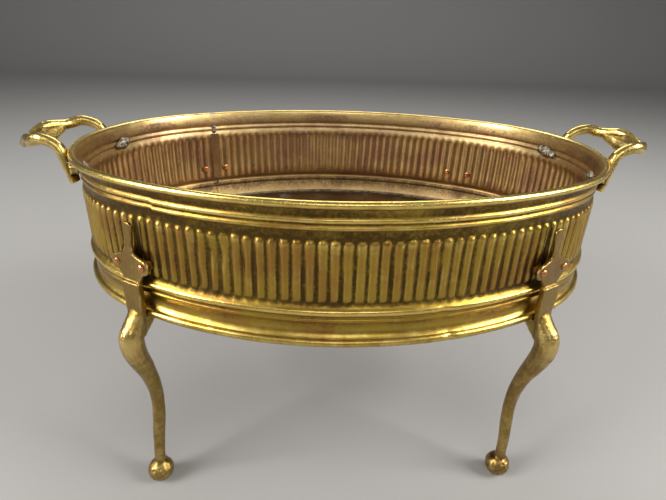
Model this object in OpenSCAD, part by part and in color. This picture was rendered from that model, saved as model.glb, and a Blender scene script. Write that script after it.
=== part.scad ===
// Oval footed planter in sheet brass.
// A wired, beaded and fluted sheet wall stands on a flat bottom; four cast cabriole
// legs are riveted to the wall with copper rivets, and two cast bow handles are
// studded through the wall and soldered inside.
// Origin: on the ground under the middle of the pot. +X along the long axis,
// -Y is the front, +Z up. Millimetres.

/* [Rim and plan] */
// Radius of the two end arcs of the rim; the rim is 170 longer and 50 wider than
// twice this radius
end_radius = 140; // [136:1:146]
// Height of the rim's top above the ground
rim_height = 269; // [262:1:276]

/* [Sheet wall] */
// Thickness of the brass sheet
sheet = 0.9; // [0.7:0.1:1.2]
// Radius of the wired roll at the rim
rim_roll_r = 2.8; // [2.4:0.1:3.2]
// How far the rim's outer line stands out past the flat wall
rim_overhang = 7.5; // [7:0.1:8.5]
// How far the skirt under the flutes stands out past the flat wall
skirt_step = 2; // [1.5:0.1:2.5]
// Radius of the wired roll at the foot of the wall
foot_roll_r = 3; // [2.7:0.1:3.2]
// Height of the underside of the foot roll above the ground
foot_height = 164.5; // [160:0.5:168]

/* [Beads] */
// Radius of the upper bead under the rim
bead_upper_r = 2.2; // [1.8:0.1:2.3]
// Radius of the second bead under the rim
bead_second_r = 1.9; // [1.6:0.1:2.2]
// Radius of the heavy bead under the flutes
bead_heavy_r = 2.9; // [2.5:0.1:3]
// Radius of the thin bead under the heavy one
bead_thin_r = 1.7; // [1.4:0.1:1.8]

/* [Flutes] */
// Number of flute pitches round the wall, one of them left plain at the seam
flute_pitches = 148; // [120:1:150]
// Height of the fluted band
flute_height = 45.5; // [44:0.5:46]
// How far a flute stands out of the wall
flute_rise = 1.6; // [1:0.1:1.8]
// Width of one flute across its foot
flute_width = 4.8; // [4:0.1:5.2]

/* [Legs] */
// Angle of the leg plates' outward normal, from the long axis
leg_angle = 59.8; // [58:0.1:62]
// Half the distance between the two rivets of a leg plate
rivet_half_spacing = 11.8; // [10.5:0.1:12.5]
// Height of the leg rivets above the ground
rivet_height = 207; // [205:0.5:209]
// Radius of a rivet's shank
rivet_r = 2; // [1.6:0.1:2.2]
// Thickness of the leg's upper plate
plate_t = 2.8; // [2.4:0.1:3.2]
// Gap between the flat wall and the back of the leg plate
plate_gap = 6.1; // [6.1:0.1:6.6]
// Radius of the ball foot
ball_r = 10.5; // [9.5:0.1:11]

/* [Handles] */
// How far the handle's tip stands out from the middle of the pot
handle_reach = 280; // [276:1:284]
// Half the distance between the two arms of a handle at the wall
handle_half_span = 43; // [40:0.5:45]
// Height of the studs that hold a handle to the wall
stud_height = 252; // [251.5:0.5:252.5]

/* [Hidden] */

// The plan is a four-arc oval. The arcs' centres form right triangles of 85, 132 and
// 157, whole numbers, so end and side arcs meet exactly and with the same normal, and
// every line of the sheet is an offset of the same oval.
end_centre = 85;
side_centre = 132;
centre_distance = 157;
side_radius = end_radius + centre_distance;
join_angle = atan2(side_centre, end_centre);

// The wall line is the outer face of the flat sheet; profiles are drawn from it
wall_end_r = end_radius - rim_overhang;
wall_side_r = side_radius - rim_overhang;
rim_roll_z = rim_height - rim_roll_r;
rim_roll_x = rim_overhang - rim_roll_r;
foot_roll_z = foot_height + foot_roll_r;
foot_roll_x = skirt_step + sheet;

// Levels of the beads and flutes, counted down from the rim roll
bead_upper_z = rim_roll_z - 11.8;
bead_second_z = rim_roll_z - 16.7;
flute_top = rim_roll_z - 24.3;
flute_bottom = flute_top - flute_height;
bead_heavy_z = flute_bottom - 6;
bead_thin_z = bead_heavy_z - 6.2;
plate_top = foot_roll_z + 1.1;
clearance = 0.05;

// Length round the wall line, from the middle of the right end anticlockwise
end_half_arc = wall_end_r * join_angle * PI / 180;
side_arc = wall_side_r * (180 - 2 * join_angle) * PI / 180;
girth = 4 * end_half_arc + 2 * side_arc;
flute_pitch = girth / flute_pitches;
// The lap seam is at the back left; its outward normal, and its place along the girth
seam_angle = 118.2;
seam_run = end_half_arc + (seam_angle - join_angle) * PI / 180 * wall_side_r;
flute_r = (pow(flute_width / 2, 2) + pow(flute_rise, 2)) / (2 * flute_rise);

// Outward normal, as an angle, at a length s along the wall line
function first_half_angle(s) =
    s < end_half_arc ? s / wall_end_r * 180 / PI
    : s < end_half_arc + side_arc
        ? join_angle + (s - end_half_arc) / wall_side_r * 180 / PI
        : 180 - join_angle + (s - end_half_arc - side_arc) / wall_end_r * 180 / PI;
function run_angle(s) =
    s < girth / 2 ? first_half_angle(s) : 180 + first_half_angle(s - girth / 2);

// Point of the wall line, offset outward by off, whose normal is at angle a
function is_end(a) = abs(sin(a)) <= sin(join_angle);
function oval_centre(a) =
    is_end(a) ? [sign(cos(a)) * end_centre, 0] : [0, -sign(sin(a)) * side_centre];
function oval_radius(a) = is_end(a) ? wall_end_r : wall_side_r;
function oval_point(a, off = 0) =
    oval_centre(a) + (oval_radius(a) + off) * [cos(a), sin(a)];

// Smooth curve through the rows of p, n steps between rows; any length of row
function spline_at(p, i, t) =
    let (a = p[max(i - 1, 0)], b = p[i], c = p[i + 1], d = p[min(i + 2, len(p) - 1)])
    0.5 * (2 * b + (c - a) * t + (2 * a - 5 * b + 4 * c - d) * t * t
        + (3 * b - a - 3 * c + d) * t * t * t);
function spline(p, n) = concat(
    [for (i = [0 : len(p) - 2]) for (j = [0 : n - 1]) spline_at(p, i, j / n)],
    [p[len(p) - 1]]);
function unit(v) = v / norm(v);
function place(row) = [row[0], row[1], row[2]];

// A cast bar: rows are [x, y, z, half size along ref, half size across it]
module cast_bar(rows, ref, sides) {
    last = len(rows) - 1;
    rings = [for (i = [0 : last])
        let (along = unit(place(rows[min(i + 1, last)]) - place(rows[max(i - 1, 0)])),
            wide = unit(ref - (ref * along) * along),
            deep = cross(along, wide))
        for (k = [0 : sides - 1])
            place(rows[i]) + rows[i][3] * cos(360 * k / sides) * wide
                + rows[i][4] * sin(360 * k / sides) * deep];
    skin = [for (i = [0 : last - 1]) for (k = [0 : sides - 1])
        let (a = i * sides + k, b = i * sides + (k + 1) % sides)
        for (side = [[a, a + sides, b], [b, a + sides, b + sides]]) side];
    ends = [[for (k = [0 : sides - 1]) k],
        [for (k = [0 : sides - 1]) last * sides + sides - 1 - k]];
    polyhedron(rings, concat(skin, ends), convexity = 6);
}

// Wedges of the plan that belong to the right end arc and to the back side arc
reach = 4;
module end_wedge()
    polygon([[end_centre, 0], [end_centre * (1 + reach), -side_centre * reach],
        [end_centre * (1 + reach), side_centre * reach]]);
module side_wedge()
    polygon([[0, -side_centre], [end_centre * reach, side_centre * (reach - 1)],
        [-end_centre * reach, side_centre * (reach - 1)]]);

// Sweep a profile, drawn with x outward from the wall line and y up, round the oval
module round_the_oval() {
    for (turn = [0, 180]) rotate([0, 0, turn]) {
        intersection() {
            translate([end_centre, 0, 0]) rotate_extrude($fn = 120)
                translate([wall_end_r, 0]) children();
            linear_extrude(rim_height + 1) end_wedge();
        }
        intersection() {
            translate([0, -side_centre, 0]) rotate_extrude($fn = 240)
                translate([wall_side_r, 0]) children();
            linear_extrude(rim_height + 1) side_wedge();
        }
    }
}

// Filled oval in plan, offset outward from the wall line by off
module oval_plate(off) {
    for (turn = [0, 180]) rotate([0, 0, turn]) {
        intersection() {
            translate([end_centre, 0]) circle(r = wall_end_r + off, $fn = 120);
            end_wedge();
        }
        intersection() {
            translate([0, -side_centre]) circle(r = wall_side_r + off, $fn = 240);
            side_wedge();
        }
    }
}

// Half-round bead rolled outward in the sheet, open to the inside
module bead(x, z, r) {
    intersection() {
        translate([x - sheet, z]) circle(r = r, $fn = 32);
        translate([x - sheet, z - r]) square([2 * r, 2 * r]);
    }
}
module bead_hollow(x, z, r) {
    translate([x - sheet, z]) circle(r = r - sheet, $fn = 32);
}

// Sheet from the flutes up to the wired rim
module upper_profile() {
    cove_bottom = bead_upper_z + bead_upper_r;
    difference() {
        union() {
            translate([-sheet, flute_top]) square([sheet, cove_bottom - flute_top]);
            polygon([[-sheet, cove_bottom - 0.5], [0, cove_bottom - 0.5],
                [rim_roll_x - rim_roll_r + sheet, rim_roll_z],
                [rim_roll_x - rim_roll_r, rim_roll_z]]);
            bead(0, bead_upper_z, bead_upper_r);
            bead(0, bead_second_z, bead_second_r);
            translate([rim_roll_x, rim_roll_z]) circle(r = rim_roll_r, $fn = 32);
        }
        translate([rim_roll_x, rim_roll_z]) circle(r = rim_roll_r - sheet, $fn = 32);
        bead_hollow(0, bead_upper_z, bead_upper_r);
        bead_hollow(0, bead_second_z, bead_second_r);
    }
}

// Sheet from the flutes down to the wired foot, on a slightly wider skirt
module lower_profile() {
    step_bottom = bead_heavy_z + bead_heavy_r;
    difference() {
        union() {
            polygon([[-sheet, flute_bottom], [0, flute_bottom],
                [skirt_step, step_bottom], [skirt_step, step_bottom - 0.5],
                [skirt_step - sheet, step_bottom - 0.5]]);
            translate([skirt_step - sheet, foot_roll_z])
                square([sheet, step_bottom - foot_roll_z]);
            bead(skirt_step, bead_heavy_z, bead_heavy_r);
            bead(skirt_step, bead_thin_z, bead_thin_r);
            translate([foot_roll_x, foot_roll_z]) circle(r = foot_roll_r, $fn = 32);
        }
        translate([foot_roll_x, foot_roll_z]) circle(r = foot_roll_r - sheet, $fn = 32);
        bead_hollow(skirt_step, bead_heavy_z, bead_heavy_r);
        bead_hollow(skirt_step, bead_thin_z, bead_thin_r);
    }
}

// Plan of the fluted band: the sheet's ring with a round flute at every pitch but
// the one at the seam
module fluted_plan() {
    difference() {
        union() {
            oval_plate(0);
            at_flutes() circle(r = flute_r, $fn = 24);
        }
        oval_plate(-sheet);
        at_flutes() circle(r = flute_r - sheet, $fn = 24);
    }
}
module at_flutes() {
    for (i = [1 : flute_pitches - 1])
        let (s = seam_run + i * flute_pitch, a = run_angle(s < girth ? s : s - girth))
            translate(oval_point(a, flute_rise - flute_r)) children();
}

// The one wall sheet: beaded top with rolled rim, fluted middle, beaded skirt with
// rolled foot, drilled for the leg rivets and the handle studs
module body_wall() color("goldenrod") {
    difference() {
        union() {
            round_the_oval() upper_profile();
            translate([0, 0, flute_bottom]) linear_extrude(flute_height) fluted_plan();
            round_the_oval() lower_profile();
        }
        at_legs() rivet_pair_holes();
        at_handle_studs() rotate([0, 90, 0])
            cylinder(r = stud_r + clearance, h = 20, center = true, $fn = 32);
    }
}

// Iron wire inside the rolled rim
module rim_wire() color("dimgray")
    round_the_oval()
        translate([rim_roll_x, rim_roll_z])
            circle(r = rim_roll_r - sheet - clearance, $fn = 24);

// Iron wire inside the rolled foot
module foot_wire() color("dimgray")
    round_the_oval()
        translate([foot_roll_x, foot_roll_z])
            circle(r = foot_roll_r - sheet - clearance, $fn = 24);

// Flat bottom sheet with its edge turned down inside the foot roll
bottom_off = foot_roll_x - foot_roll_r - 0.1;
flange_drop = 3.6;
module bottom_plate() color("peru")
    translate([0, 0, plate_top - flange_drop]) difference() {
        linear_extrude(flange_drop) oval_plate(bottom_off);
        translate([0, 0, -1]) linear_extrude(flange_drop - sheet + 1)
            oval_plate(bottom_off - sheet);
    }

// Fillet of soft solder run into the groove between the bottom's edge, the foot roll
// and the wall
module bottom_solder() color("silver") {
    groove_in = bottom_off + clearance;
    groove_out = skirt_step - sheet - clearance;
    groove_mid = (groove_in + groove_out) / 2;
    round_the_oval() polygon([
        [groove_in, over_foot_roll(groove_in)], [groove_mid, over_foot_roll(groove_mid)],
        [groove_out, over_foot_roll(groove_out)],
        [groove_out, plate_top + 3], [groove_in, plate_top + 1]]);
}
// Height just clear of the foot roll at a distance out from the flat wall
function over_foot_roll(x) =
    foot_roll_z + sqrt(pow(foot_roll_r + 0.15, 2) - pow(x - foot_roll_x, 2));

// Strap soldered over the lap of the sheet, inside at the back left
strap_w = 9;
strap_t = 0.6;
module seam_strap() color("darkkhaki")
    seam_sector(strap_w) translate([-sheet - clearance - strap_t, flute_bottom + 1])
        square([strap_t, bead_second_z - flute_bottom - 4]);

// Dabs of solder that close the lap at the two upper beads and at the heavy bead
module seam_solder() color("silver")
    for (z = [bead_upper_z, bead_second_z, bead_heavy_z])
        translate(concat(oval_point(seam_angle, -sheet - clearance), z))
            rotate([0, 0, seam_angle]) difference() {
                sphere(r = 2.1, $fn = 24);
                translate([0, -5, -5]) cube([10, 10, 10]);
            }
module seam_sector(w) {
    sweep = w / wall_side_r * 180 / PI;
    translate([0, -side_centre, 0]) rotate([0, 0, seam_angle - sweep / 2])
        rotate_extrude(angle = sweep, $fn = 240) translate([wall_side_r, 0]) children();
}

// ---- Legs: each is one casting. Its own frame has x outward from the wall line,
// y along the wall away from the middle of the pot, z up from the ground.
module flip(on, axis) {
    if (on) mirror(axis) children();
    else children();
}
// How far each leg was set from the drawn angle, towards the middle of its long side
function leg_turn(left, back) = left ? (back ? 1.6 : -0.4) : (back ? 0 : 0.4);
module at_leg(left, back) {
    angle = -leg_angle - leg_turn(left, back);
    flip(left, [1, 0, 0]) flip(back, [0, 1, 0])
        translate(concat(oval_point(angle), 0)) rotate([0, 0, angle]) children();
}
module at_legs() {
    for (left = [true, false]) for (back = [true, false]) at_leg(left, back) children();
}
module rivet_pair_holes() {
    for (s = [-1, 1]) translate([0, s * rivet_half_spacing, rivet_height])
        rotate([0, 90, 0]) cylinder(r = rivet_r + clearance, h = 30, center = true, $fn = 32);
}

strap_top = 194;
strap_front = plate_gap + 5.2;
ear_r = 6.2;
// Centre line of the leg: [outward, height, half depth, half width], knee to ankle
leg_rows = [[9.2, 170, 2.9, 7], [12.4, 161, 6.6, 8], [16.4, 153, 8.8, 8.7],
    [17.4, 144, 8.9, 8.8], [15.3, 134, 8.3, 8.3], [11.2, 122, 7.3, 7.5],
    [7, 110, 6.3, 6.5], [3.9, 97, 5.6, 5.9], [2.4, 85, 5.2, 5.4], [2.4, 72, 5.1, 5.2],
    [3.8, 58, 5, 5.1], [5.6, 44, 4.7, 4.9], [6.9, 30, 4.4, 4.6], [7.4, 14, 4.6, 4.8]];
splay_from = 122;

// splay: how far the foot stands off the drawn line, outward and along the wall
module leg(splay) {
    drift = [for (r = leg_rows) max(0, (splay_from - r[1]) / splay_from)];
    rows = [for (i = [0 : len(leg_rows) - 1]) let (r = leg_rows[i])
        [r[0] + splay[0] * drift[i], splay[1] * drift[i], r[1], r[3], r[2]]];
    difference() {
        union() {
            translate([plate_gap, 0, 0]) rotate([90, 0, 90]) linear_extrude(plate_t)
                plate_outline();
            strap();
            for (s = [-1, 1]) translate([flute_rise + 0.05, s * rivet_half_spacing, rivet_height])
                rotate([0, 90, 0])
                    cylinder(r = 4, h = plate_gap - flute_rise + 0.5, $fn = 32);
            shoulder();
            cast_bar(spline(rows, 3), [0, 1, 0], 14);
        }
        rivet_pair_holes();
    }
    translate([7.5 + splay[0], splay[1], ball_r]) sphere(r = ball_r, $fn = 48);
}
// Finger above, leaning towards the middle of the side; an ear each side for a rivet
module plate_outline() {
    finger_top = 235.5;
    lean = -3.5;
    translate([lean, finger_top]) circle(r = 4.1, $fn = 32);
    polygon([[lean - 4.1, finger_top], [lean + 4.1, finger_top], [lean / 2 + 3.1, 222], [5, 216],
        [rivet_half_spacing, rivet_height + ear_r], [rivet_half_spacing, rivet_height - ear_r],
        [7.5, strap_top], [-7.5, strap_top],
        [-rivet_half_spacing, rivet_height - ear_r], [-rivet_half_spacing, rivet_height + ear_r],
        [-5, 216], [lean / 2 - 3.1, 222]]);
    for (s = [-1, 1]) translate([s * rivet_half_spacing, rivet_height]) circle(r = ear_r, $fn = 32);
}
// Thick strap that stands on a ledge below the ears and passes the foot of the wall
module strap()
    translate([plate_gap, 0, 0]) rotate([90, 0, 90]) linear_extrude(strap_front - plate_gap)
        polygon([[-8, strap_top], [8, strap_top], [8.6, 184], [7, 166], [-7, 166], [-8.6, 184]]);
// Shelf inside the knee that carries the foot roll
module shoulder()
    hull() {
        translate([-3, -6, foot_height - 3.1]) cube([15, 12, 3]);
        translate([8, -5, foot_height - 16]) cube([6, 10, 4]);
    }

// Small differences in how the four legs have been set over the years
module leg_front_left() color("darkgoldenrod") at_leg(true, false) leg([4, 0.5]);
module leg_front_right() color("darkgoldenrod") at_leg(false, false) leg([-3.5, -4]);
module leg_back_left() color("darkgoldenrod") at_leg(true, true) leg([0, 0]);
module leg_back_right() color("darkgoldenrod") at_leg(false, true) leg([0, 0]);

// Two copper rivets of one leg: round head outside, hammered head inside
module rivet_pair() color("sandybrown") {
    inside = -1.4;
    front = plate_gap + plate_t;
    head_r = 3.2;
    dome_r = 4.2;
    dome_sink = sqrt(pow(dome_r, 2) - pow(head_r, 2));
    for (s = [-1, 1]) translate([0, s * rivet_half_spacing, rivet_height]) rotate([0, 90, 0]) {
        translate([0, 0, inside - 1.1]) cylinder(r = head_r, h = 1.1, $fn = 32);
        translate([0, 0, inside - 0.5]) cylinder(r = rivet_r, h = front - inside + 1, $fn = 32);
        translate([0, 0, front + clearance]) intersection() {
            translate([0, 0, -dome_sink]) sphere(r = dome_r, $fn = 40);
            cylinder(r = head_r, h = 5, $fn = 32);
        }
    }
}
module rivets_front_left() at_leg(true, false) rivet_pair();
module rivets_front_right() at_leg(false, false) rivet_pair();
module rivets_back_left() at_leg(true, true) rivet_pair();
module rivets_back_right() at_leg(false, true) rivet_pair();

// ---- Handles: each is one casting, a cusped bow on two studded pads
stud_r = 2.4;
stud_angle = asin(handle_half_span / wall_end_r);
module at_stud(left, back)
    flip(left, [1, 0, 0]) flip(back, [0, 1, 0])
        translate(concat(oval_point(-stud_angle), stud_height))
            rotate([0, 0, -stud_angle]) children();
module at_handle_studs() {
    for (left = [true, false]) for (back = [true, false]) at_stud(left, back) children();
}

stud_end = -3.6;
pad_back = bead_upper_r + 0.15;
pad_front = 8.5;
arm_w = 4.4;
arm_h = 4.8;
wall_x = oval_point(stud_angle)[0];
tip_r = 3;
tip_x = handle_reach - tip_r;
// One arm from its foot to the tip: [x, y, z, half width, half height]
arm_shape = [[wall_x + 7.2, handle_half_span, 240, 5.2, 3],
    [wall_x + 9.6, handle_half_span, 251, 5.2, 3.9],
    [wall_x + 16.4, handle_half_span - 2.2, 268.5, 4.7, arm_w],
    [wall_x + 31, handle_half_span - 4, 274.6, 4.3, arm_h],
    [tip_x - 24.2, handle_half_span - 12.5, 271, 4.2, arm_h],
    [tip_x - 12, handle_half_span - 29, 269.4, 3.5, 4], [tip_x, 0, 262, tip_r, tip_r]];
// The thumb piece's back wing was cast higher than its front one
back_wing = [0, 0, 0, 0, 1.5, 4.8, 0];
// Each handle was soldered on at its own tilt: the right one's point stands higher
function raised(p, left) =
    [p[0], p[1], p[2] + (left ? -2 : 3.4) * (p[0] - wall_x - 7.2) / (tip_x - wall_x - 7.2)];

module handle(left) color("gold") {
    flip(left, [1, 0, 0]) {
        for (s = [-1, 1]) flip(s < 0, [0, 1, 0])
            cast_bar(spline([for (i = [0 : len(arm_shape) - 1]) let (r = arm_shape[i])
                concat(raised(r + [0, 0, s > 0 ? back_wing[i] : 0, 0, 0], left), [r[3], r[4]])], 4),
                [0.3, 0.95, 0], 14);
        translate(raised([tip_x, 0, 262], left)) sphere(r = tip_r, $fn = 32);
        leaf(left);
    }
    for (back = [true, false]) at_stud(left, back) rotate([0, 90, 0]) {
        translate([0, 0, pad_back]) cylinder(r = 5.2, h = pad_front - pad_back, $fn = 32);
        translate([0, 0, stud_end]) cylinder(r = stud_r, h = pad_front - stud_end, $fn = 32);
    }
}
// Thumb piece that fills the point of the bow, down to an inner corner between the arms
module leaf(left)
    hull() {
        translate(raised([tip_x - 2.5, 0, 262], left)) sphere(r = 2.8, $fn = 20);
        for (s = [-1, 1]) {
            translate(raised([tip_x - 13, s * 12, 266.8 + (s > 0 ? 4 : 0)], left))
                sphere(r = 3.4, $fn = 20);
            translate(raised([tip_x - 23, s * 26, 268.4 + (s > 0 ? 1.2 : 0)], left))
                sphere(r = 3, $fn = 20);
        }
        translate(raised([tip_x - 26, 0, 265.8], left)) sphere(r = 3, $fn = 20);
    }
module handle_left() handle(true);
module handle_right() handle(false);

// Solder run over a handle stud inside the wall; reach is how far it ran each way
module solder_lump(reach, size) color("silver") difference() {
    union() {
        translate([-1, 0, 0]) sphere(r = size, $fn = 32);
        translate([-1, -reach, 0.18 * size]) sphere(r = 0.76 * size, $fn = 32);
        translate([-1, reach, -0.2 * size]) sphere(r = 0.7 * size, $fn = 32);
    }
    translate([-sheet - 0.4, -25, -25]) cube([50, 50, 50]);
    translate([stud_end - clearance, 0, 0]) rotate([0, 90, 0])
        cylinder(r = stud_r + clearance, h = 10, $fn = 32);
}
module solder_left_front() at_stud(true, false) solder_lump(3, 4.6);
module solder_left_back() at_stud(true, true) solder_lump(5.5, 5.6);
module solder_right_front() at_stud(false, false) solder_lump(3, 4.6);
module solder_right_back() at_stud(false, true) solder_lump(7.5, 5.8);

body_wall();
rim_wire();
foot_wire();
bottom_plate();
bottom_solder();
seam_strap();
seam_solder();
leg_front_left();
leg_front_right();
leg_back_left();
leg_back_right();
rivets_front_left();
rivets_front_right();
rivets_back_left();
rivets_back_right();
handle_left();
handle_right();
solder_left_front();
solder_left_back();
solder_right_front();
solder_right_back();
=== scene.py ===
# Oval footed planter: a fluted sheet-brass wall on a flat bottom, four cast cabriole legs
# held by copper rivets, and two cast bow handles studded through the wall and soldered.
# Metres. +X along the long axis, -Y the front, +Z up, origin on the ground in the middle.
import math

import bpy
import numpy as np
from mathutils import Matrix, Vector


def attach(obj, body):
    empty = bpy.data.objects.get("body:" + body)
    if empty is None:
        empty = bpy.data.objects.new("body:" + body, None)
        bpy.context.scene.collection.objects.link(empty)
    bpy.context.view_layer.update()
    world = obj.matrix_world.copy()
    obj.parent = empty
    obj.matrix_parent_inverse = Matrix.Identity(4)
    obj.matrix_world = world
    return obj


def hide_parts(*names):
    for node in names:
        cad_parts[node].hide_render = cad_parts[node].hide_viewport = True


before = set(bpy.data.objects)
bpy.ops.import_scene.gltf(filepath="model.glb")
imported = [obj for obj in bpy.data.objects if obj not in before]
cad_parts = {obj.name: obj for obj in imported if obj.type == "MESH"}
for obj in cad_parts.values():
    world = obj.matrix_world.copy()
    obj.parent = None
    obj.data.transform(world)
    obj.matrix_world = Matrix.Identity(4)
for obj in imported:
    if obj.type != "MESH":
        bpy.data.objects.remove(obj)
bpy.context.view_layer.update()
chance = np.random.default_rng(1897)

# ---- Wall sheet
# One long strip of thin brass, rolled with two beads above and two below, fluted between
# them, bent to an oval and lapped at the back left. Its top and foot are rolled round
# iron wire. Everything is drawn as an offset from the outer face of the flat sheet.
MM = 0.001
END_CENTRE, SIDE_CENTRE = 85.0, 132.0
WALL_END_R, WALL_SIDE_R = 132.5, 289.5
JOIN = math.atan2(SIDE_CENTRE, END_CENTRE)
END_HALF_ARC = WALL_END_R * JOIN
SIDE_ARC = WALL_SIDE_R * (math.pi - 2 * JOIN)
GIRTH = 4 * END_HALF_ARC + 2 * SIDE_ARC


def wall_angle(run):
    """Direction of the outward normal at a distance round the wall from its right end."""
    run = np.mod(run, GIRTH)
    half = np.mod(run, GIRTH / 2)
    first = np.where(
        half < END_HALF_ARC,
        half / WALL_END_R,
        np.where(
            half < END_HALF_ARC + SIDE_ARC,
            JOIN + (half - END_HALF_ARC) / WALL_SIDE_R,
            math.pi - JOIN + (half - END_HALF_ARC - SIDE_ARC) / WALL_END_R,
        ),
    )
    return first + np.where(run >= GIRTH / 2, math.pi, 0.0)


def wall_plan(angle, out):
    """x and y of the point whose normal has this angle, a distance out from the sheet."""
    c, s = np.cos(angle), np.sin(angle)
    on_end = np.abs(s) <= math.sin(JOIN)
    x = np.where(on_end, np.sign(c) * END_CENTRE + (WALL_END_R + out) * c, (WALL_SIDE_R + out) * c)
    y = np.where(on_end, (WALL_END_R + out) * s, -np.sign(s) * SIDE_CENTRE + (WALL_SIDE_R + out) * s)
    return x, y


def run_at(degrees):
    """Distance round the wall to the place whose normal has this angle."""
    angle = math.radians(degrees % 360)
    half = angle % math.pi
    if half < JOIN:
        run = half * WALL_END_R
    elif half < math.pi - JOIN:
        run = END_HALF_ARC + (half - JOIN) * WALL_SIDE_R
    else:
        run = END_HALF_ARC + SIDE_ARC + (half - math.pi + JOIN) * WALL_END_R
    return run + (GIRTH / 2 if angle >= math.pi else 0)


def waves(places, size, seed):
    """A smooth random field from -1 to 1 over 3-D places, with bumps of about this size."""
    dice = np.random.default_rng(seed)
    total = 0
    for _ in range(7):
        way = dice.normal(size=3)
        way *= dice.uniform(0.7, 1.4) / np.linalg.norm(way) * math.pi / size
        total = total + np.sin(places @ way + dice.uniform(0, 2 * math.pi))
    return total / 4


SHEET = 0.9
RIM_ROLL_R, RIM_ROLL_X, RIM_ROLL_Z = 2.8, 4.65, 266.15
FOOT_ROLL_R, FOOT_ROLL_X, FOOT_ROLL_Z = 3.0, 2.9, 167.5
BEAD_UPPER_R, BEAD_UPPER_Z = 2.2, 254.4
BEAD_SECOND_R, BEAD_SECOND_Z = 1.9, 249.5
BEAD_HEAVY_R, BEAD_HEAVY_Z = 2.9, 190.4
BEAD_THIN_R, BEAD_THIN_Z = 1.7, 184.2
FLUTE_TOP, FLUTE_BOTTOM, FLUTE_RISE = 241.9, 196.4, 1.75
SKIRT = 2.0
FLUTES = 148
PITCH = GIRTH / FLUTES
SEAM_RUN = run_at(118.2)


def arc(x, z, radius, start, stop, steps):
    """Points on a circle of the profile, from one direction to another, in degrees."""
    turn = np.radians(np.linspace(start, stop, steps))
    return np.column_stack([x + radius * np.cos(turn), z + radius * np.sin(turn)])


def bead_outside(x, z, radius, steps):
    return arc(x - SHEET, z, radius, -65, 65, steps)


def bead_inside(x, z, radius, steps):
    return arc(x - SHEET, z, radius - 0.5, 65, -65, steps)


flute_rows = (1 - np.cos(math.pi * np.linspace(0, 1, 13) ** 0.7)) / 2
flute_heights = FLUTE_BOTTOM + (FLUTE_TOP - FLUTE_BOTTOM) * flute_rows
inside_flute_heights = flute_heights[::-2]
# Each strip of the section, from the foot up the outside, over the rim and down the inside,
# with the name of the part of the wall it belongs to
strips = [
    (arc(FOOT_ROLL_X, FOOT_ROLL_Z, FOOT_ROLL_R, 127, 467, 12), "foot"),
    (bead_outside(SKIRT, BEAD_THIN_Z, BEAD_THIN_R, 5), "lower bead"),
    (bead_outside(SKIRT, BEAD_HEAVY_Z, BEAD_HEAVY_R, 8), "lower bead"),
    (np.column_stack([np.zeros(13), flute_heights]), "flutes"),
    (bead_outside(0, BEAD_SECOND_Z, BEAD_SECOND_R, 6), "upper bead"),
    (bead_outside(0, BEAD_UPPER_Z, BEAD_UPPER_R, 6), "upper bead"),
    (np.array([[0.3, 257.6], [1.2, 261.2]]), "cove"),
    (arc(RIM_ROLL_X, RIM_ROLL_Z, RIM_ROLL_R, 214, 540, 14), "rim"),
    (np.array([[1.0, 262.6], [-0.6, 257.2]]), "inside cove"),
    (bead_inside(0, BEAD_UPPER_Z, BEAD_UPPER_R, 5), "inside bead"),
    (bead_inside(0, BEAD_SECOND_Z, BEAD_SECOND_R, 5), "inside bead"),
    (np.column_stack([np.full(7, -SHEET), inside_flute_heights]), "inside flutes"),
    (bead_inside(SKIRT, BEAD_HEAVY_Z, BEAD_HEAVY_R, 6), "inside lower bead"),
    (bead_inside(SKIRT, BEAD_THIN_Z, BEAD_THIN_R, 4), "inside lower bead"),
]
profile = np.vstack([points for points, _ in strips])
part = np.concatenate([[name] * len(points) for points, name in strips])
inside = np.char.startswith(part, "inside")
fluted = (part == "flutes") | (part == "inside flutes")

# Seven columns to each flute, closer at its shoulders; the lap takes the first pitch
across = np.array([-0.5, -0.33, -0.24, -0.1, 0.1, 0.24, 0.33])
flute_number = np.repeat(np.arange(FLUTES), len(across))
run = SEAM_RUN + (flute_number + np.tile(across, FLUTES)) * PITCH
from_crest = np.tile(across, FLUTES) * PITCH
set_by_hand = chance.normal(size=(4, FLUTES))
shift = 0.16 * set_by_hand[0][flute_number]
lean = 0.5 * np.convolve(set_by_hand[1], np.ones(5) / 5, "same")[flute_number]
rise = FLUTE_RISE * (1 + 0.06 * set_by_hand[2][flute_number]) * (flute_number > 0)
head = -0.45 * np.abs(set_by_hand[3])[flute_number]

heights = profile[:, 1][:, None] + 0 * run
away = np.abs(from_crest + shift + lean * (heights - 220) / 22)
below_top = np.clip((2.6 - (FLUTE_TOP + head - heights)) / 2.6, 0, 1)
above_foot = np.clip((3.6 - (heights - FLUTE_BOTTOM)) / 3.6, 0, 1)
spoon = np.clip(1 - np.abs(FLUTE_TOP - 3.5 - heights) / 5, 0, 1)
half_width = 2.95 + 0.3 * spoon - 0.3 * (FLUTE_TOP - heights) / 45
dome = np.clip(1 - np.hypot(away / half_width, below_top) ** 2, 0, 1) ** 0.8
relief = dome * (1 - above_foot**2) * fluted[:, None]


def along_from(degrees):
    """Signed distance round the wall from the place whose normal has this angle."""
    return np.mod(run - run_at(degrees) + GIRTH / 2, GIRTH) - GIRTH / 2


# A knock at the front left has flattened and crumpled a few of the flutes
KNOCK_AT, KNOCK_HEIGHT, KNOCK_WIDE, KNOCK_HIGH, KNOCK_REACH = -107.5, 226, 13, 10, 30
along_knock = along_from(KNOCK_AT)
knock = np.exp(-((along_knock / KNOCK_WIDE) ** 2) - ((heights - KNOCK_HEIGHT) / KNOCK_HIGH) ** 2)
relief *= 1 - 0.75 * knock * (along_knock**2 < KNOCK_REACH**2)
out = profile[:, 0][:, None] + relief * rise * np.where(inside, 0.92, 1.0)[:, None]

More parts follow.
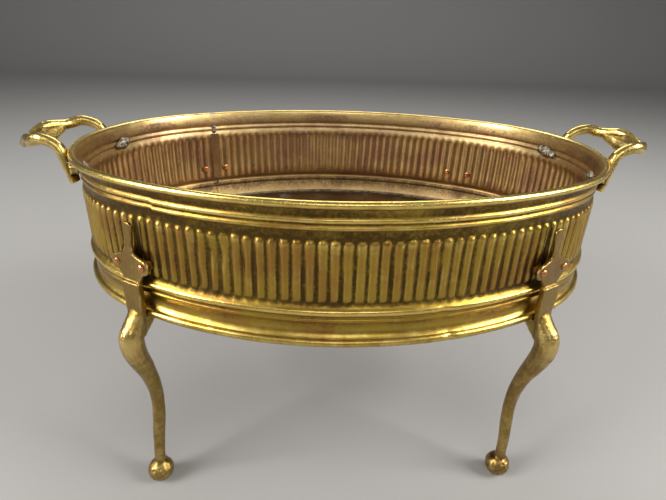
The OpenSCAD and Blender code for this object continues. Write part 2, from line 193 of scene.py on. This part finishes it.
# The strip's ends lap by a few millimetres: the outer end stands proud and dies away
past_seam = np.mod(run - SEAM_RUN + GIRTH / 2, GIRTH) - GIRTH / 2
lap = np.where(past_seam > 1.5, np.exp(-np.abs(past_seam) / 22), 0) * 0.7
out += lap * (~inside & (part != "rim"))[:, None]
# The rolled beads do not quite meet at the front left
past_miss = along_from(-116.6)
heights += (
    np.where(past_miss < 0, np.exp(past_miss / 40), -0.25 * np.exp(-past_miss / 30))
    * 0.75
    * ((part == "upper bead") | (part == "inside bead"))[:, None]
)


def dent(degrees, height, wide, high, depth):
    """Pushes the sheet in round one place."""
    return -depth * np.exp(-((along_from(degrees) / wide) ** 2) - ((heights - height) / high) ** 2)


# The knock and the crushed flute heads round it
out += dent(-108, 224, 8, 9, 2.2) + dent(-106, 236, 2.5, 4, 1.8) + dent(-110.5, 235, 2.5, 5, 1.6)
# Smaller knocks below it, one of them on the skirt, and nicks in the heavy bead and the foot
out += (
    dent(-110, 205, 8, 6, 1.1)
    + dent(-104, 222, 2.5, 5, 1.5)
    + dent(-112, 178, 13, 6, 0.9)
    + dent(-77.4, BEAD_HEAVY_Z - 1, 3.2, 2.6, 0.9)
)
out += dent(-76.1, FOOT_ROLL_Z + 1, 3, 4, 0.8) + dent(63, 218, 9, 14, 0.9)
# Long shallow waves of a sheet worked by hand
plan_x, plan_y = wall_plan(wall_angle(run), 0)
flat_place = np.stack([plan_x + 0 * heights, plan_y + 0 * heights, heights], -1)
out += knock * (0.9 * waves(flat_place, 4.5, 8) - 0.5)
calm = np.where((part == "rim") | (part == "foot"), 0.45, 1.0)[:, None]
out += calm * (0.22 * waves(flat_place, 26, 5) + 0.1 * waves(flat_place, 9, 6)) - 0.1
heights += 0.35 * waves(flat_place * [1, 1, 0], 110, 7) - 0.2

plan_x, plan_y = wall_plan(wall_angle(run), out)
corners = np.stack([plan_x, plan_y, heights], -1) * MM
rows, columns = heights.shape


def piece_from(name, places, faces):
    """A smooth-shaded piece from places in metres and faces."""
    mesh = bpy.data.meshes.new(name)
    mesh.from_pydata(np.asarray(places).reshape(-1, 3).tolist(), [], faces)
    mesh.shade_smooth()
    piece = bpy.data.objects.new(name, mesh)
    bpy.context.scene.collection.objects.link(piece)
    return piece


def loop_faces(rows, columns):
    """Quads of a grid that closes on itself both ways."""
    return [
        (
            r * columns + c,
            r * columns + (c + 1) % columns,
            (r + 1) % rows * columns + (c + 1) % columns,
            (r + 1) % rows * columns + c,
        )
        for r in range(rows)
        for c in range(columns)
    ]


def paint(piece, name, values):
    """Stores one number per point, for the piece's material to read."""
    layer = piece.data.attributes.new(name, "FLOAT", "POINT")
    layer.data.foreach_set("value", np.clip(values, 0, 1).astype(np.float32).ravel())


def hollows_and_edges(piece, rounds, full):
    """How far each point stands out of, or lies below, the softened shape round it."""
    mesh = piece.data
    count = len(mesh.vertices)
    places, normals = np.empty(count * 3), np.empty(count * 3, np.float32)
    mesh.vertices.foreach_get("co", places)
    mesh.vertex_normals.foreach_get("vector", normals)
    places, normals = places.reshape(-1, 3), normals.reshape(-1, 3)
    ends = np.empty(len(mesh.edges) * 2, np.int32)
    mesh.edges.foreach_get("vertices", ends)
    a, b = ends.reshape(-1, 2).T
    share = np.bincount(ends, minlength=count)[:, None]
    soft = places.copy()
    for _ in range(rounds):
        near = np.column_stack(
            [np.bincount(a, soft[b, k], count) + np.bincount(b, soft[a, k], count) for k in range(3)]
        )
        soft += 0.5 * (near / share - soft)
    return ((places - soft) * normals).sum(1) / (full * MM)


wall = piece_from("wall_sheet", corners, loop_faces(rows, columns))


def crease(height, wide, depth):
    """A dark band that runs round the wall: dirt in a groove, and painted shade below the rim roll."""
    return depth * np.exp(-(((profile[:, 1] - height) / wide) ** 2)) * ~np.isin(part, ["rim", "foot"])


# The wide band just below the rim roll is painted shade; the narrow ones are dirt in the grooves
creases = crease(262.5, 2.6, 0.75) + crease(257.2, 1.1, 0.8) + crease(251.9, 0.8, 1.0)
creases += crease(247.2, 1.0, 0.8) + crease(243.8, 1.9, 0.5) + crease(194.9, 1.6, 0.85)
creases += crease(186.6, 0.9, 1.0) + crease(181.9, 0.9, 0.8) + crease(171, 1.4, 0.7)
roll_turn = np.arctan2(profile[:, 1] - RIM_ROLL_Z, profile[:, 0] - RIM_ROLL_X)
underside = np.clip(-np.sin(roll_turn), 0, 1)
# Painted shade on the underside of the rim roll
creases += 0.8 * (part == "rim") * underside**2
valley = fluted[:, None] * (1 - relief) * (flute_number > 0)
# The crests of the beads and the rim and foot rolls are worn bright, with a painted highlight laid over
# them, strongest on the heavy bead and the top of the rim roll; the inside beads get a painted
# highlight only
peak = np.select([part == "upper bead", part == "lower bead"], [1.2, 3.6], 99.0)
base = np.where(part == "lower bead", 2.2, 0.2)
crown = np.clip((profile[:, 0] - base) / (peak - base), 0, 1) ** 1.5
crown = crown * 0.75 + 0.8 * (part == "rim") * (1 - underside) + 0.45 * (part == "foot")
crown += 0.5 * (part == "inside bead")
# Painted highlight: a bright line down each shoulder of every flute
shoulder_highlight = np.exp(-(((away - 2.5) / 0.6) ** 2)) * fluted[:, None]
shoulder_highlight = shoulder_highlight * (below_top < 0.5) * (above_foot < 0.5)
rub = 0.12 * relief**3 + 0.4 * relief * spoon + 0.3 * shoulder_highlight + crown[:, None]
paint(wall, "rub", rub * np.where(inside, 0.8, 1)[:, None])
# Inside, the wall is made darker below the heavy bead
low_inside = 0.6 * (inside & (profile[:, 1] < 189))
grime = np.maximum(0.72 * valley**3, 0.85 * creases[:, None]) * np.where(inside, 0.55, 1)[:, None]
paint(wall, "grime", grime + low_inside[:, None])
inner_rim = (part == "rim") & (np.cos(roll_turn) < -0.35) & (np.sin(roll_turn) > -0.6)
inside_foot = (part == "foot") & (profile[:, 0] < 1.2)
lining_share = np.where(inside | inside_foot, 1.0, np.where(inner_rim, 0.45, 0.0))
paint(wall, "inner", lining_share[:, None] + 0 * run)
seam_dab = np.exp(-((past_seam / 4.5) ** 2))
paint(wall, "tinned", seam_dab * ((part == "rim") | (part == "inside bead"))[:, None])


def add_node(tree, kind, settings=None, **sockets):
    """Adds a node; each socket is given a value or another node's output."""
    node = tree.nodes.new(kind)
    for name, value in (settings or {}).items():
        setattr(node, name, value)
    for name, value in sockets.items():
        by_number = name[1:].isdigit()
        socket = node.inputs[int(name[1:]) if by_number else name.replace("_", " ")]
        if isinstance(value, bpy.types.NodeSocket):
            tree.links.new(value, socket)
        else:
            socket.default_value = value
    return node


def sum_of(tree, kind, first, second, third=0.0):
    """The result of one calculation node."""
    settings = {"operation": kind}
    return add_node(tree, "ShaderNodeMath", settings, i0=first, i1=second, i2=third).outputs[0]


def remap(tree, value, low, high, to_low=0.0, to_high=1.0):
    """Value run from low to high, smoothly, onto a new range."""
    return add_node(
        tree,
        "ShaderNodeMapRange",
        {"interpolation_type": "SMOOTHSTEP"},
        Value=value,
        From_Min=low,
        From_Max=high,
        To_Min=to_low,
        To_Max=to_high,
    ).outputs[0]


def blend_colours(tree, factor, first, second):
    node = tree.nodes.new("ShaderNodeMix")
    node.data_type = "RGBA"
    for socket, value in zip((node.inputs[0], node.inputs[6], node.inputs[7]), (factor, first, second)):
        if isinstance(value, bpy.types.NodeSocket):
            tree.links.new(value, socket)
        else:
            socket.default_value = value
    return node.outputs[2]


def noise(tree, where, scale, detail, roughness=0.55):
    return add_node(
        tree, "ShaderNodeTexNoise", Vector=where, Scale=scale, Detail=detail, Roughness=roughness
    ).outputs["Fac"]


def new_group(name, inputs, outputs):
    """An empty node group with named sockets; returns it with its two ends."""
    group = bpy.data.node_groups.new(name, "ShaderNodeTree")
    kinds = {"colour": "NodeSocketColor", "number": "NodeSocketFloat"}
    for title, kind, value in inputs:
        socket = group.interface.new_socket(title, in_out="INPUT", socket_type=kinds[kind])
        socket.default_value = value
    for title, kind in outputs:
        group.interface.new_socket(title, in_out="OUTPUT", socket_type=kinds[kind])
    return group, group.nodes.new("NodeGroupInput").outputs, group.nodes.new("NodeGroupOutput").inputs


# Old brass, the same effect on sheet and castings: bright where hands and cloths wear it and where
# highlights are painted on, brown where tarnish stays, nearly black in the hollows and where shade is
# painted on, with red-brown blotches
old_metal, given, result = new_group(
    "old_metal",
    [
        ("Bright", "colour", (0.8, 0.6, 0.22, 1)),
        ("Aged", "colour", (0.4, 0.27, 0.08, 1)),
        ("Dark", "colour", (0.06, 0.035, 0.012, 1)),
        ("Blotch", "colour", (0.3, 0.14, 0.06, 1)),
        ("Rub", "number", 0.0),
        ("Grime", "number", 0.0),
        ("Blotch Amount", "number", 0.4),
        ("Grain", "number", 1.0),
    ],
    [("Colour", "colour"), ("Roughness", "number"), ("Height", "number")],
)
where = old_metal.nodes.new("ShaderNodeTexCoord").outputs["Object"]
clouds = noise(old_metal, where, 22, 5)
patches = noise(old_metal, where, 75, 6, 0.65)
specks = noise(old_metal, where, 420, 4, 0.6)
pits = noise(old_metal, where, 1500, 2)
# Worn places and painted highlights come in together through one input
wear_and_sheen = sum_of(old_metal, "MULTIPLY_ADD", patches, 1.5, -0.75)
wear_and_sheen = sum_of(old_metal, "ADD", wear_and_sheen, given["Rub"])
wear_and_sheen = sum_of(old_metal, "MULTIPLY_ADD", specks, 0.5, sum_of(old_metal, "SUBTRACT", wear_and_sheen, 0.25))
wear_and_sheen = remap(old_metal, wear_and_sheen, 0.1, 0.95)
# Dark hollows, dirt and painted shade come in together through one input
dirt_and_shade = sum_of(old_metal, "SUBTRACT", given["Grime"], 0.4)
dirt_and_shade = sum_of(old_metal, "MULTIPLY_ADD", clouds, 0.8, dirt_and_shade)
dirt_and_shade = sum_of(old_metal, "MULTIPLY_ADD", specks, 0.9, sum_of(old_metal, "SUBTRACT", dirt_and_shade, 0.45))
dirt_and_shade = sum_of(old_metal, "MULTIPLY_ADD", patches, 0.6, sum_of(old_metal, "SUBTRACT", dirt_and_shade, 0.3))
dirt_and_shade = remap(old_metal, dirt_and_shade, 0.05, 0.8)
stain = remap(old_metal, clouds, 0.43, 0.62)
stain = sum_of(old_metal, "MULTIPLY", stain, given["Blotch Amount"])
colour = blend_colours(old_metal, stain, given["Aged"], given["Blotch"])
colour = blend_colours(old_metal, wear_and_sheen, colour, given["Bright"])
colour = blend_colours(old_metal, dirt_and_shade, colour, given["Dark"])
pitted = remap(old_metal, pits, 0.36, 0.27)
colour = blend_colours(old_metal, sum_of(old_metal, "MULTIPLY", pitted, 0.6), colour, given["Dark"])
roughness = sum_of(old_metal, "MULTIPLY_ADD", wear_and_sheen, -0.09, 0.32)
roughness = sum_of(old_metal, "MULTIPLY_ADD", dirt_and_shade, 0.2, roughness)
roughness = sum_of(old_metal, "SUBTRACT", roughness, 0.08)
roughness = sum_of(old_metal, "MULTIPLY_ADD", patches, 0.16, roughness)
height = sum_of(old_metal, "MULTIPLY", specks, given["Grain"])
height = sum_of(old_metal, "MULTIPLY_ADD", patches, 0.8, height)
height = sum_of(old_metal, "MULTIPLY_ADD", pitted, -0.8, height)
for title, value in (("Colour", colour), ("Roughness", roughness), ("Height", height)):
    old_metal.links.new(value, result[title])


def read_paint(tree, name):
    return add_node(tree, "ShaderNodeAttribute", {"attribute_name": name}).outputs["Fac"]


def new_material(name):
    """An empty material; returns it, its tree and its Principled shader."""
    material = bpy.data.materials.new(name)
    material.use_nodes = True
    return material, material.node_tree, material.node_tree.nodes["Principled BSDF"]


def use_group(tree, group, **sockets):
    node = add_node(tree, "ShaderNodeGroup", {"node_tree": group}, **sockets)
    return node.outputs


def bumped(tree, height, distance, strength):
    return add_node(
        tree, "ShaderNodeBump", Height=height, Distance=distance, Strength=strength
    ).outputs["Normal"]


def finish_metal(tree, shader, colour, roughness, height, distance=0.0004, strength=0.35):
    tree.links.new(colour, shader.inputs["Base Color"])
    tree.links.new(roughness, shader.inputs["Roughness"])
    tree.links.new(bumped(tree, height, distance, strength), shader.inputs["Normal"])
    shader.inputs["Metallic"].default_value = 1.0


wall_brass, tree, shader = new_material("wall_brass")
inner = read_paint(tree, "inner")
face = use_group(
    tree,
    old_metal,
    Bright=(0.86, 0.64, 0.19, 1),
    Aged=(0.4, 0.265, 0.045, 1),
    Dark=(0.085, 0.054, 0.015, 1),
    Blotch=(0.35, 0.185, 0.042, 1),
    Rub=read_paint(tree, "rub"),
    Grime=read_paint(tree, "grime"),
    Blotch_Amount=0.9,
)
lining = use_group(
    tree,
    old_metal,
    Bright=(0.8, 0.62, 0.34, 1),
    Aged=(0.46, 0.32, 0.14, 1),
    Dark=(0.12, 0.078, 0.035, 1),
    Blotch=(0.38, 0.22, 0.13, 1),
    Rub=read_paint(tree, "rub"),
    Grime=read_paint(tree, "grime"),
    Blotch_Amount=0.8,
)
colour = blend_colours(tree, inner, face["Colour"], lining["Colour"])
tinned = remap(tree, read_paint(tree, "tinned"), 0.35, 0.9, 0.0, 0.7)
colour = blend_colours(tree, tinned, colour, (0.42, 0.37, 0.28, 1))
roughness = sum_of(tree, "MULTIPLY_ADD", inner, 0.1, face["Roughness"])
finish_metal(tree, shader, colour, roughness, face["Height"])
wall.data.materials.append(wall_brass)
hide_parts("body_wall")
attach(wall, "root")

# ---- Rim and foot wires
# Soft iron wire, closed inside the two rolls of the sheet, with a skin of rust.
# They are hidden all the way round, so they stay as the CAD has them.


def recoat(node, material):
    """Gives a carried-over node of the CAD a new material, and leaves its mesh alone."""
    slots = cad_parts[node].data.materials
    slots.clear()
    slots.append(material)


iron, tree, shader = new_material("rusty_wire")
where = tree.nodes.new("ShaderNodeTexCoord").outputs["Object"]
rust = remap(tree, noise(tree, where, 160, 5), 0.4, 0.62)
colour = blend_colours(tree, rust, (0.12, 0.115, 0.11, 1), (0.2, 0.07, 0.03, 1))
roughness = sum_of(tree, "MULTIPLY_ADD", rust, 0.35, 0.45)
finish_metal(tree, shader, colour, roughness, rust)
for node in ("rim_wire", "foot_wire"):
    recoat(node, iron)

# ---- Bottom
# A flat oval of the same sheet with its edge turned down inside the foot roll. It has
# sagged a little and is stained by water, with spots of pale scale.
BOTTOM_TOP, BOTTOM_OUT, BOTTOM_DROP, BOTTOM_BEND_R = 168.6, -0.2, 3.6, 1.6
RING_POINTS = 360
around = np.linspace(0, GIRTH, RING_POINTS + 1)[:-1]
bend = np.radians(np.linspace(0, 90, 5))
edge_out = np.concatenate([[0, 0], BOTTOM_BEND_R * np.cos(bend) - BOTTOM_BEND_R])
edge_down = np.concatenate([[-BOTTOM_DROP, -2.4], BOTTOM_BEND_R * np.sin(bend) - BOTTOM_BEND_R])
rings = []
for off, drop in zip(edge_out, edge_down):
    x, y = wall_plan(wall_angle(around), BOTTOM_OUT + off)
    rings.append(np.column_stack([x, y, np.full(len(x), BOTTOM_TOP + drop)]))
edge = rings[-1]
for share in np.linspace(0.97, 0.02, 34):
    ring = edge * [share, share, 1]
    sag = 0.9 * waves(ring * [1, 1, 0], 60, 11) + 0.35 * waves(ring * [1, 1, 0], 22, 12) - 1
    ring[:, 2] += np.minimum(0, sag) * min(1, (1 - share) * 6) * 0.6
    rings.append(ring)
under = [ring * [1, 1, 1] - [0, 0, SHEET] for ring in rings[:6:-1]]
lip_x, lip_y = wall_plan(wall_angle(around), BOTTOM_OUT - SHEET)
lip_z = np.full(RING_POINTS, BOTTOM_TOP - BOTTOM_DROP)
under.append(np.column_stack([lip_x, lip_y, lip_z]))
plate_rows = np.array(rings + under)
quads = loop_faces(len(plate_rows), RING_POINTS)
bottom = piece_from("bottom_sheet", plate_rows * MM, quads)
paint(bottom, "edge", 1 - np.clip(np.arange(len(plate_rows)) / 12, 0, 1)[:, None] + 0 * around)
bottom_brass, tree, shader = new_material("bottom_brass")
where = tree.nodes.new("ShaderNodeTexCoord").outputs["Object"]
scale_spots = remap(tree, noise(tree, where, 34, 6, 0.7), 0.5, 0.66)
face = use_group(
    tree,
    old_metal,
    Bright=(0.5, 0.36, 0.2, 1),
    Aged=(0.27, 0.165, 0.09, 1),
    Dark=(0.05, 0.032, 0.02, 1),
    Blotch=(0.3, 0.13, 0.08, 1),
    Rub=0.25,
    Grime=read_paint(tree, "edge"),
    Blotch_Amount=0.8,
)
colour = blend_colours(tree, scale_spots, face["Colour"], (0.36, 0.34, 0.31, 1))
roughness = sum_of(tree, "MULTIPLY_ADD", scale_spots, 0.2, face["Roughness"])
finish_metal(tree, shader, colour, roughness, face["Height"])
bottom.data.materials.append(bottom_brass)
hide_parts("bottom_plate")
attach(bottom, "root")

# ---- Solder round the bottom, over the seam and over the handle studs
# Soft solder run in with a hot iron: dull grey and lumpy, yellow-brown where it has aged,
# and darkest round the bottom.
old_solder, tree, shader = new_material("old_solder")
where = tree.nodes.new("ShaderNodeTexCoord").outputs["Object"]
dull = noise(tree, where, 260, 6, 0.65)
lumps = noise(tree, where, 700, 3)
aged = remap(tree, dull, 0.35, 0.65)
colour = blend_colours(tree, aged, (0.16, 0.13, 0.09, 1), (0.46, 0.43, 0.36, 1))
roughness = sum_of(tree, "MULTIPLY_ADD", dull, 0.3, 0.25)
finish_metal(tree, shader, colour, roughness, lumps, 0.0006, 0.6)
dark_solder, tree, shader = new_material("dark_solder")
where = tree.nodes.new("ShaderNodeTexCoord").outputs["Object"]
dull = noise(tree, where, 180, 6, 0.65)
aged = remap(tree, dull, 0.35, 0.65)
colour = blend_colours(tree, aged, (0.09, 0.06, 0.035, 1), (0.22, 0.165, 0.1, 1))
roughness = sum_of(tree, "MULTIPLY_ADD", dull, 0.3, 0.35)
finish_metal(tree, shader, colour, roughness, dull, 0.0006, 0.6)
recoat("bottom_solder", dark_solder)
recoat("seam_solder", old_solder)


def cast_skin(node, name, grain, rounds):
    """The node's solid again as one fine skin, with its corners and facets softened."""
    piece = bpy.data.objects.new(name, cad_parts[node].data.copy())
    bpy.context.scene.collection.objects.link(piece)
    skin = piece.modifiers.new("skin", "REMESH")
    skin.mode, skin.voxel_size = "VOXEL", grain * MM
    soften = piece.modifiers.new("soften", "SMOOTH")
    soften.factor, soften.iterations = 0.5, rounds
    mesh = bpy.data.meshes.new_from_object(piece.evaluated_get(bpy.context.evaluated_depsgraph_get()))
    piece.modifiers.clear()
    piece.data = mesh
    mesh.name = name
    mesh.materials.clear()
    mesh.shade_smooth()
    return piece


def places_of(piece):
    """The piece's points in millimetres, and its normals."""
    count = len(piece.data.vertices)
    places, normals = np.empty(count * 3), np.empty(count * 3, np.float32)
    piece.data.vertices.foreach_get("co", places)
    piece.data.vertex_normals.foreach_get("vector", normals)
    return places.reshape(-1, 3) / MM, normals.reshape(-1, 3)


def move_points(piece, places):
    piece.data.vertices.foreach_set("co", (places * MM).ravel())
    piece.data.update()


for node in ("solder_left_front", "solder_left_back", "solder_right_front", "solder_right_back"):
    lump = cast_skin(node, node.replace("solder", "solder_run"), grain=0.45, rounds=4)
    places, normals = places_of(lump)
    lumpy = 0.5 * waves(places, 2.2, 21) + 0.3 * waves(places, 1.0, 22)
    move_points(lump, places + normals * np.minimum(lumpy, 0.15)[:, None])
    lump.data.materials.append(old_solder)
    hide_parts(node)
    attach(lump, "root")

# ---- Seam strap
# A narrow strip of the same sheet, laid over the lapped seam inside the pot and soldered
# along both its edges. Duller than the wall, since nothing rubs it.
strap_brass, tree, shader = new_material("strap_brass")
face = use_group(tree, old_metal, Bright=(0.6, 0.45, 0.25, 1), Aged=(0.36, 0.24, 0.12, 1), Rub=0.25)
finish_metal(tree, shader, face["Colour"], face["Roughness"], face["Height"])
recoat("seam_strap", strap_brass)

# ---- Legs
# Each is one brass sand casting: a finger and two ears riveted to the wall, a strap down
# past the foot roll, a bulging knee and a slim shank on a ball. Left rough, worn at the knee.
cast_brass, tree, shader = new_material("leg_brass")
face = use_group(
    tree,
    old_metal,
    Bright=(0.66, 0.48, 0.17, 1),
    Aged=(0.28, 0.188, 0.05, 1),
    Dark=(0.04, 0.026, 0.012, 1),
    Blotch=(0.22, 0.11, 0.045, 1),
    Rub=read_paint(tree, "rub"),
    Grime=read_paint(tree, "grime"),
    Blotch_Amount=0.5,
    Grain=1.4,
)
finish_metal(tree, shader, face["Colour"], face["Roughness"], face["Height"], 0.0006, 0.45)

# Directions that the four plates face, in degrees from +X
leg_faces = {"front_left": -120.6, "front_right": -60.2, "back_left": 118.6, "back_right": 59.8}
BALL_TOP, KNEE_HEIGHT, SHANK_TOP = 24, 152, 160
for corner, degrees in leg_faces.items():
    leg = cast_skin("leg_" + corner, "cast_leg_" + corner, grain=0.8, rounds=5)
    places, normals = places_of(leg)
    rough_ball = np.clip((BALL_TOP - places[:, 2]) / 6, 0, 1)
    lumpy = 0.12 * waves(places, 7, 31) + (0.08 + 0.2 * rough_ball) * waves(places, 2.4, 32)
    move_points(leg, places + normals * np.minimum(lumpy, 0.1)[:, None])
    edges = hollows_and_edges(leg, rounds=12, full=0.95)
    knee = np.exp(-(((places[:, 2] - KNEE_HEIGHT) / 16) ** 2))
    angle = math.radians(degrees)
    facing = normals @ np.array([math.cos(angle), math.sin(angle), 0.0])
    shank = 0.2 * (places[:, 2] < SHANK_TOP)
    # Painted shade: the back faces of the plate and strap, turned to the wall, are darkened
    behind = 0.55 * np.clip(-facing, 0, 1) * (places[:, 2] > SHANK_TOP)
    paint(leg, "rub", edges + 0.55 * knee * np.clip(facing + 0.3, 0, 1) + shank)
    paint(leg, "grime", -edges * 1.2 + behind + 0.3 * rough_ball)
    leg.data.materials.append(cast_brass)
    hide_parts("leg_" + corner)
    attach(leg, "root")

# ---- Leg rivets
# Copper, two to a leg: a round head over the ear, the shank hammered flat over inside.
copper, tree, shader = new_material("rivet_copper")
face = use_group(
    tree,
    old_metal,
    Bright=(0.62, 0.28, 0.12, 1),
    Aged=(0.38, 0.14, 0.05, 1),
    Dark=(0.06, 0.03, 0.02, 1),
    Blotch=(0.34, 0.12, 0.06, 1),
    Rub=read_paint(tree, "rub"),
    Grime=read_paint(tree, "grime"),
    Blotch_Amount=0.4,
    Grain=1.2,
)
finish_metal(tree, shader, face["Colour"], face["Roughness"], face["Height"], 0.0005, 0.5)

RIVET_HALF_SPACING, RIVET_HEIGHT, RIVET_R, HEAD_R = 11.8, 207.0, 2.0, 3.2
PLATE_FRONT, SHEET_INSIDE = 8.9, -1.4
dome_turn = np.radians(np.linspace(6, 90, 7))
head_outline = np.column_stack([HEAD_R * np.cos(dome_turn), PLATE_FRONT + 1.7 * np.sin(dome_turn)])
tail_outline = np.array(
    [[0.01, -1.05], [1.5, -1.1], [2.6, -0.85], [3.15, -0.45], [3.1, 0], [RIVET_R, 0.02]]
) + [0, SHEET_INSIDE]
under_head = [[RIVET_R, PLATE_FRONT - 0.02], [3.1, PLATE_FRONT]]
rivet_outline = np.vstack([tail_outline, under_head, head_outline])
rivet_outline[-1, 0] = 0.01
SIDES = 28
turn = np.linspace(0, 2 * math.pi, SIDES, endpoint=False)
for number, (corner, degrees) in enumerate(leg_faces.items()):
    angle = math.radians(degrees)
    outward = np.array([math.cos(angle), math.sin(angle), 0])
    along = np.array([-math.sin(angle), math.cos(angle), 0])
    foot_x, foot_y = wall_plan(np.array(angle), 0)
    places, faces = [], []
    for side in (-1, 1):
        start = len(places)
        middle = np.array([foot_x, foot_y, RIVET_HEIGHT]) + side * RIVET_HALF_SPACING * along
        for radius, forward in rivet_outline:
            ring = np.column_stack([radius * np.cos(turn), radius * np.sin(turn)])
            spot = middle + outward * forward + ring[:, :1] * along + ring[:, 1:] * np.array([0, 0, 1])
            struck = forward > PLATE_FRONT or forward < SHEET_INSIDE
            hammered = 0.16 * waves(spot, 1.9, 41 + number) * struck
            spot = spot - outward * (np.abs(hammered) * np.sign(forward))[:, None]
            places.extend(spot)
        last = len(rivet_outline) - 1
        for r in range(last):
            lower, upper = start + r * SIDES, start + (r + 1) * SIDES
            for c in range(SIDES):
                d = (c + 1) % SIDES
                faces.append((lower + c, lower + d, upper + d, upper + c))
        faces.append(tuple(start + c for c in reversed(range(SIDES))))
        faces.append(tuple(start + last * SIDES + c for c in range(SIDES)))
    rivets = piece_from("copper_rivets_" + corner, np.array(places) * MM, faces)
    edges = hollows_and_edges(rivets, rounds=6, full=0.3)
    rim_of_head = np.tile(np.repeat(rivet_outline[:, 0] > 2.9, SIDES), 2)
    paint(rivets, "rub", edges + 0.3 * ~rim_of_head)
    paint(rivets, "grime", 0.75 * rim_of_head - edges)
    rivets.data.materials.append(copper)
    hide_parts("rivets_" + corner)
    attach(rivets, "root")

# ---- Handles
# Each is one brass casting: two arms rise from studded pads, swing out over the rim and
# meet in a cusped bow, whose point holds a dished leaf for the thumb.
handle_brass, tree, shader = new_material("handle_brass")
face = use_group(
    tree,
    old_metal,
    Bright=(0.76, 0.57, 0.19, 1),
    Aged=(0.36, 0.25, 0.065, 1),
    Dark=(0.05, 0.032, 0.012, 1),
    Blotch=(0.32, 0.16, 0.06, 1),
    Rub=read_paint(tree, "rub"),
    Grime=read_paint(tree, "grime"),
    Blotch_Amount=0.3,
)
finish_metal(tree, shader, face["Colour"], face["Roughness"], face["Height"], 0.0005, 0.3)
LEAF_MIDDLE, LEAF_HALF_LENGTH, LEAF_HALF_WIDTH = 261.5, 12, 19
for side in ("left", "right"):
    handle = cast_skin("handle_" + side, "cast_handle_" + side, grain=0.65, rounds=4)
    places, normals = places_of(handle)
    lumpy = 0.1 * waves(places, 8, 51) + 0.06 * waves(places, 2.6, 52)
    # The thumb's hollow between the two wings
    leaf_x, leaf_y = np.abs(places[:, 0]) - LEAF_MIDDLE, places[:, 1]
    half_wide = LEAF_HALF_WIDTH - 0.8 * np.maximum(leaf_x, 0)
    dish = np.clip(1 - (leaf_x / LEAF_HALF_LENGTH) ** 2 - (leaf_y / half_wide) ** 2, 0, 1)
    places[:, 2] -= 1.5 * dish * np.clip(normals[:, 2] * 2, 0, 1)
    move_points(handle, places + normals * np.minimum(lumpy, 0.1)[:, None])
    edges = hollows_and_edges(handle, rounds=14, full=0.6)
    # Painted light: upward faces are brightened, on top of the worn edges
    paint(handle, "rub", edges + 0.35 + 0.35 * np.clip(normals[:, 2], 0, 1))
    # Painted shade: the undersides, and the parts close to the wall, are darkened
    painted_shade_near_wall = np.clip((236 - np.abs(places[:, 0])) / 20, 0, 1)
    paint(handle, "grime", -edges + 0.55 * painted_shade_near_wall + 0.4 * np.clip(-normals[:, 2] - 0.2, 0, 1))
    handle.data.materials.append(handle_brass)
    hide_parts("handle_" + side)
    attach(handle, "root")

# ---- Floor, light and camera
# A plain pale floor that curves up behind, two big soft lamps at the sides, a weaker one
# above the back and a faint one in front.
sweep_turn = np.radians(np.linspace(0, 90, 13))
CURVE_START, CURVE_R = 3.2, 0.8
curve = [(CURVE_START + CURVE_R * math.sin(t), CURVE_R - CURVE_R * math.cos(t)) for t in sweep_turn]
sweep = [(-3.0, 0.0)] + curve + [(4.0, 5.0)]
floor_places = [(x, y, z) for y, z in sweep for x in (-7, 7)]
floor_faces = [(2 * i, 2 * i + 1, 2 * i + 3, 2 * i + 2) for i in range(len(sweep) - 1)]
floor_mesh = bpy.data.meshes.new("floor")
floor_mesh.from_pydata(floor_places, [], floor_faces)
floor_mesh.shade_smooth()
floor = bpy.data.objects.new("floor", floor_mesh)
bpy.context.scene.collection.objects.link(floor)
pale, tree, shader = new_material("pale_floor")
shader.inputs["Base Color"].default_value = (0.37, 0.37, 0.375, 1)
shader.inputs["Roughness"].default_value = 0.8
floor.data.materials.append(pale)


def soft_lamp(name, place, target, width, height, power):
    lamp = bpy.data.lights.new(name, "AREA")
    lamp.color = (1.0, 0.965, 0.9)
    lamp.shape, lamp.size, lamp.size_y, lamp.energy = "RECTANGLE", width, height, power
    holder = bpy.data.objects.new(name, lamp)
    holder.location = place
    holder.rotation_euler = (Vector(target) - Vector(place)).to_track_quat("-Z", "Y").to_euler()
    bpy.context.scene.collection.objects.link(holder)


soft_lamp("lamp_left", (-1.5, -0.7, 1.0), (0, 0, 0.2), 0.8, 1.1, 34)
soft_lamp("lamp_right", (1.5, -0.5, 1.1), (0, 0, 0.2), 0.8, 1.1, 34)
soft_lamp("lamp_back", (0, 1.3, 1.9), (0, 0, 0.2), 1.8, 0.8, 18)
soft_lamp("lamp_front", (0.1, -2.2, 1.7), (0, 0, 0.15), 1.4, 0.7, 9)
world = bpy.data.worlds.new("room")
world.use_nodes = True
world.node_tree.nodes["Background"].inputs["Color"].default_value = (0.82, 0.8, 0.77, 1)
world.node_tree.nodes["Background"].inputs["Strength"].default_value = 0.26
bpy.context.scene.world = world
bpy.context.scene.view_settings.view_transform = "Standard"

CAMERA_PLACE, LENS, SENSOR = (-0.02521, -0.42169, 0.36067), 25.63, 36
CAMERA_YAW, CAMERA_PITCH, CAMERA_ROLL = (math.radians(a) for a in (2.795, 25.347, -1.801))
ahead = Vector(
    (
        math.sin(CAMERA_YAW) * math.cos(CAMERA_PITCH),
        math.cos(CAMERA_YAW) * math.cos(CAMERA_PITCH),
        -math.sin(CAMERA_PITCH),
    )
)
level = Vector((math.cos(CAMERA_YAW), -math.sin(CAMERA_YAW), 0))
down = ahead.cross(level)
right = math.cos(CAMERA_ROLL) * level + math.sin(CAMERA_ROLL) * down
down = math.cos(CAMERA_ROLL) * down - math.sin(CAMERA_ROLL) * level
camera = bpy.data.objects.new("camera", bpy.data.cameras.new("camera"))
camera.data.lens, camera.data.sensor_width = LENS, SENSOR
turned = Matrix((right, -down, -ahead)).transposed().to_4x4()
camera.matrix_world = Matrix.Translation(CAMERA_PLACE) @ turned
bpy.context.scene.collection.objects.link(camera)
bpy.context.scene.camera = camera
